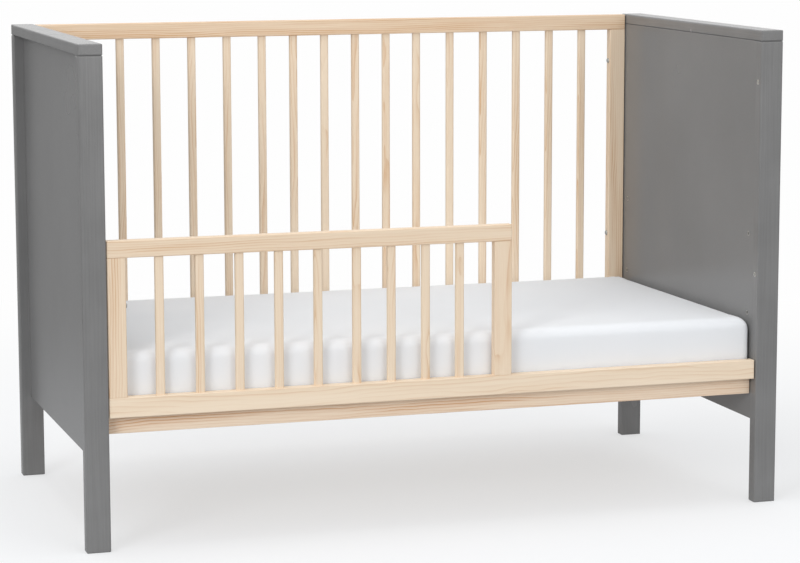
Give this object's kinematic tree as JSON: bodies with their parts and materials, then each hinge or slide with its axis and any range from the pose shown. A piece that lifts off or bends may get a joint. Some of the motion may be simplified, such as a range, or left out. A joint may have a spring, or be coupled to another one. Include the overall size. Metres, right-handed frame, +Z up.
{
  "type": "baby crib",
  "caption": "Crib with solid painted end frames, a slatted pine back, a half-length slatted toddler guard at the front and a lift-out mattress in a fitted sheet.",
  "frame": {"origin": "on the floor, under the middle of the crib", "axes": "+X to the right seen from the open front, +Y to the back, +Z up"},
  "size_m": [1.428, 0.738, 0.964],
  "materials": {
    "grey_paint_post": "satin grey paint over pine, grain showing through",
    "grey_paint_panel": "satin grey paint over fibreboard, smooth",
    "grey_paint_cap": "satin grey paint",
    "pine": "clear matt lacquer over pale pine",
    "pine_slat": "clear matt lacquer over pale pine",
    "base_pine": "sanded pine",
    "beech_dowel": "fluted beech, hidden",
    "zinc_steel": "zinc plated",
    "steel_bolt": "zinc plated, satin",
    "mattress_ticking": "woven ticking over foam",
    "cotton_sheet": "plain white jersey cotton"
  },
  "bodies": {
    "crib": {"left_front_post": "grey_paint_post", "left_rear_post": "grey_paint_post", "right_front_post": "grey_paint_post", "right_rear_post": "grey_paint_post", "left_end_panel": "grey_paint_panel", "right_end_panel": "grey_paint_panel", "left_top_cap": "grey_paint_cap", "right_top_cap": "grey_paint_cap", "left_frame_dowels": "beech_dowel", "right_frame_dowels": "beech_dowel", "back_top_rail": "pine", "back_bottom_rail": "pine", "back_left_stile": "pine", "back_right_stile": "pine", "back_slat_01": "pine_slat", "back_slat_02": "pine_slat", "back_slat_03": "pine_slat", "back_slat_04": "pine_slat", "back_slat_05": "pine_slat", "back_slat_06": "pine_slat", "back_slat_07": "pine_slat", "back_slat_08": "pine_slat", "back_slat_09": "pine_slat", "back_slat_10": "pine_slat", "back_slat_11": "pine_slat", "back_slat_12": "pine_slat", "back_slat_13": "pine_slat", "back_slat_14": "pine_slat", "back_slat_15": "pine_slat", "back_slat_16": "pine_slat", "guard_top_rail": "pine", "front_bottom_rail": "pine", "guard_left_stile": "pine", "guard_right_stile": "pine", "guard_slat_1": "pine_slat", "guard_slat_2": "pine_slat", "guard_slat_3": "pine_slat", "guard_slat_4": "pine_slat", "guard_slat_5": "pine_slat", "guard_slat_6": "pine_slat", "guard_slat_7": "pine_slat", "guard_slat_8": "pine_slat", "guard_slat_9": "pine_slat", "side_dowels": "beech_dowel", "base_front_rail": "base_pine", "base_rear_rail": "base_pine", "base_left_rail": "base_pine", "base_right_rail": "base_pine", "base_slats": "base_pine", "base_slat_screws": "zinc_steel", "base_dowels": "beech_dowel", "post_inserts": "zinc_steel", "panel_inserts": "zinc_steel", "side_bolts": "steel_bolt", "base_bolts": "steel_bolt", "connector_bolts": "steel_bolt", "barrel_nuts": "zinc_steel"},
    "mattress": {"mattress": "mattress_ticking", "fitted_sheet": "cotton_sheet"}
  },
  "joints": [
    {"name": "mattress_lift", "type": "slide", "parent": "crib", "child": "mattress", "axis": [0, 0, 1], "range_m": [0, 0.75]}
  ]
}
